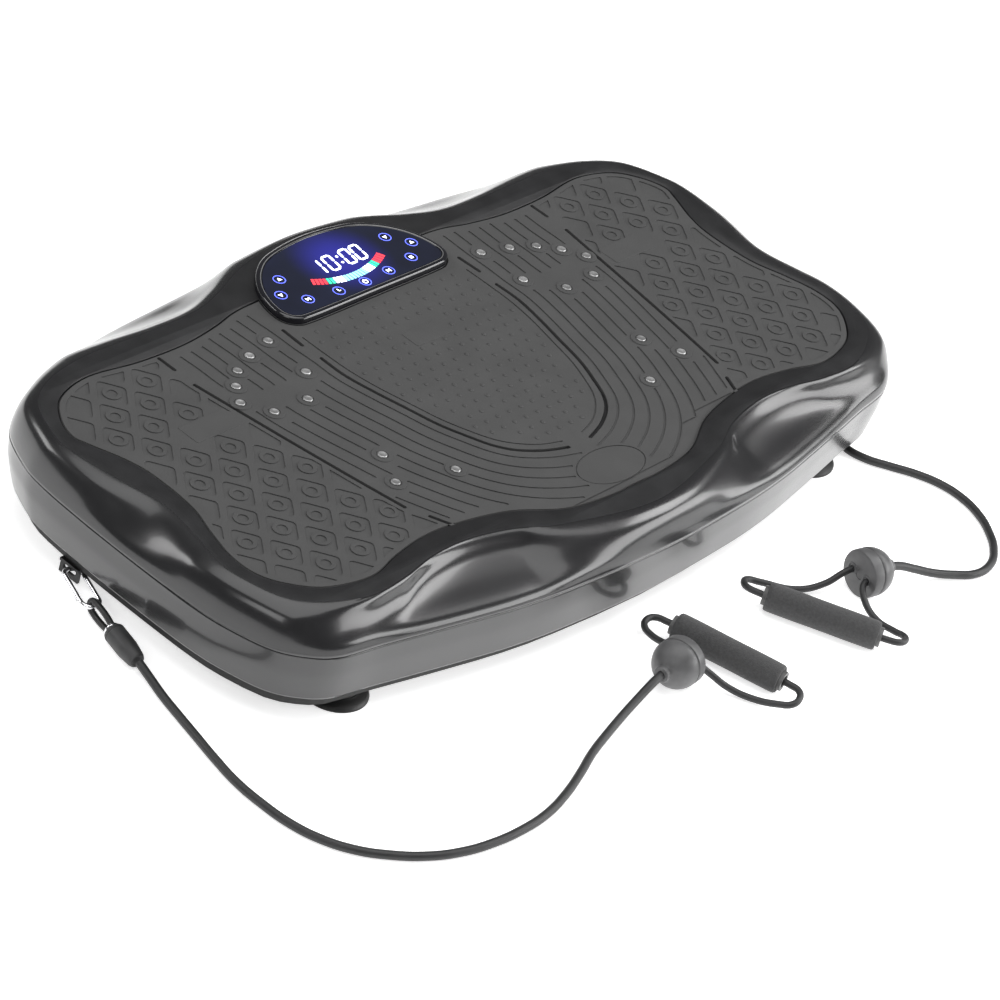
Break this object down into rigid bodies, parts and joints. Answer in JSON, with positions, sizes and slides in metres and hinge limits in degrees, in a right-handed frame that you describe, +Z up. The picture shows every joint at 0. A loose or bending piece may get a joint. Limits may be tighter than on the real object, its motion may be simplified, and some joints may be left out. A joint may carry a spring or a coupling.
{
  "type": "vibration plate",
  "caption": "Low rocking foot platform with a touch display, rubber foot mat, suction feet and elastic pull cords with foam grips.",
  "frame": {"origin": "on the floor, below the middle of everything that is not cord", "axes": "+X along the plate to the user's right, +Y towards the display side, +Z up"},
  "size_m": [0.8211, 0.5739, 0.1065],
  "materials": {
    "pan_plastic": "satin",
    "foot_rubber": "matte",
    "screw_steel": "brushed",
    "anchor_steel": "satin",
    "bracket_steel": "satin",
    "shaft_steel": "polished",
    "cast_block": "rough",
    "bearing_steel": "polished",
    "motor_paint": "satin",
    "belt_rubber": "matte",
    "circuit_board": "satin",
    "speaker_plastic": "matte",
    "gloss_shell": "high gloss",
    "band_gloss": "gloss",
    "frame_paint": "satin",
    "bush_bronze": "satin",
    "mat_rubber": "matte",
    "stud_metal": "satin",
    "bezel_gloss": "high gloss",
    "display_glass": "high gloss, printed and lit",
    "socket_plastic": "satin",
    "rocker_plastic": "gloss",
    "pulley_plastic": "satin",
    "rotor_steel": "satin",
    "rod_aluminium": "satin",
    "hook_chrome": "polished",
    "eye_rubber": "satin",
    "ferrule_rubber": "satin",
    "cord_rubber": "satin",
    "stopper_plastic": "satin",
    "grip_foam": "matte foam",
    "grip_tube": "satin"
  },
  "bodies": {
    "base": {"base_pan": "pan_plastic", "suction_feet": "foot_rubber", "foot_screws": "screw_steel", "anchor_bracket_left": "anchor_steel", "anchor_bracket_right": "anchor_steel", "anchor_screws": "screw_steel", "pivot_brackets": "bracket_steel", "pivot_shaft": "shaft_steel", "pillow_blocks": "cast_block", "crank_bearings": "bearing_steel", "motor_can": "motor_paint", "motor_bracket": "bracket_steel", "drive_belt": "belt_rubber", "power_board": "circuit_board", "speaker": "speaker_plastic", "carabiner_left": "hook_chrome", "carabiner_right": "hook_chrome", "cord_eye_left": "eye_rubber", "cord_eye_right": "eye_rubber", "ferrule_left": "ferrule_rubber", "ferrule_right": "ferrule_rubber", "pull_cord_left": "cord_rubber", "pull_cord_right": "cord_rubber", "ball_stopper_left": "stopper_plastic", "ball_stopper_right": "stopper_plastic", "handle_loop_left": "cord_rubber", "handle_loop_right": "cord_rubber"},
    "platform": {"frame_screws": "screw_steel", "top_shell": "gloss_shell", "lower_band": "band_gloss", "support_frame": "frame_paint", "pivot_bushes": "bush_bronze", "crank_pins": "shaft_steel", "band_screws": "screw_steel", "foot_mat": "mat_rubber", "magnet_studs": "stud_metal", "display_bezel": "bezel_gloss", "display_glass": "display_glass", "display_board": "circuit_board", "power_inlet": "socket_plastic", "switch_housing": "socket_plastic"},
    "crank": {"crankshaft": "shaft_steel", "eccentrics": "bearing_steel", "driven_pulley": "pulley_plastic"},
    "rotor": {"motor_rotor": "rotor_steel", "motor_pulley": "pulley_plastic"},
    "rod_front": {"con_rod_front": "rod_aluminium"},
    "rod_rear": {"con_rod_rear": "rod_aluminium"},
    "rocker": {"switch_rocker": "rocker_plastic"},
    "gate_left": {"carabiner_gate_left": "hook_chrome"},
    "gate_right": {"carabiner_gate_right": "hook_chrome"},
    "grip_left": {"grip_foam_left": "grip_foam", "grip_tube_left": "grip_tube"},
    "grip_right": {"grip_foam_right": "grip_foam", "grip_tube_right": "grip_tube"}
  },
  "joints": [
    {"name": "platform_rock", "type": "hinge", "parent": "base", "child": "platform", "pos_m": [0, 0.0663, 0.06], "axis": [0, 1, 0], "range_deg": [-1, 1]},
    {"name": "crank_spin", "type": "hinge", "parent": "base", "child": "crank", "pos_m": [0.115, 0.0663, 0.042], "axis": [0, 1, 0], "continuous": true},
    {"name": "motor_spin", "type": "hinge", "parent": "base", "child": "rotor", "pos_m": [0.235, 0.0663, 0.05], "axis": [0, 1, 0], "continuous": true},
    {"name": "rod_front_swing", "type": "hinge", "parent": "platform", "child": "rod_front", "pos_m": [0.115, 0.0143, 0.08], "axis": [0, 1, 0], "range_deg": [-1, 1]},
    {"name": "rod_rear_swing", "type": "hinge", "parent": "platform", "child": "rod_rear", "pos_m": [0.115, 0.1183, 0.08], "axis": [0, 1, 0], "range_deg": [-1, 1]},
    {"name": "power_rocker", "type": "hinge", "parent": "platform", "child": "rocker", "pos_m": [-0.028, 0.2743, 0.047], "axis": [1, 0, 0], "range_deg": [-8, 8]},
    {"name": "left_gate", "type": "hinge", "parent": "base", "child": "gate_left", "pos_m": [-0.38606, 0.09366, 0.0086], "axis": [0, 0, 1], "range_deg": [-20, 0], "stiffness_Nm_per_rad": 0.02, "springref_deg": 17.19},
    {"name": "right_gate", "type": "hinge", "parent": "base", "child": "gate_right", "pos_m": [0.37946, 0.09013, 0.0086], "axis": [0, 0, 1], "range_deg": [0, 20], "stiffness_Nm_per_rad": 0.02, "springref_deg": -17.19},
    {"name": "left_grip_spin", "type": "hinge", "parent": "base", "child": "grip_left", "pos_m": [0.008, -0.2227, 0.0122], "axis": [0.2419, -0.9703, 0], "continuous": true},
    {"name": "right_grip_spin", "type": "hinge", "parent": "base", "child": "grip_right", "pos_m": [0.114, -0.2337, 0.0122], "axis": [0.4384, -0.8988, 0], "continuous": true}
  ],
  "couplings": [
    {"joint": "crank_spin", "follows": "motor_spin", "ratio": 0.4},
    {"joint": "rod_front_swing", "follows": "platform_rock", "ratio": -1},
    {"joint": "rod_rear_swing", "follows": "platform_rock", "ratio": -1}
  ]
}
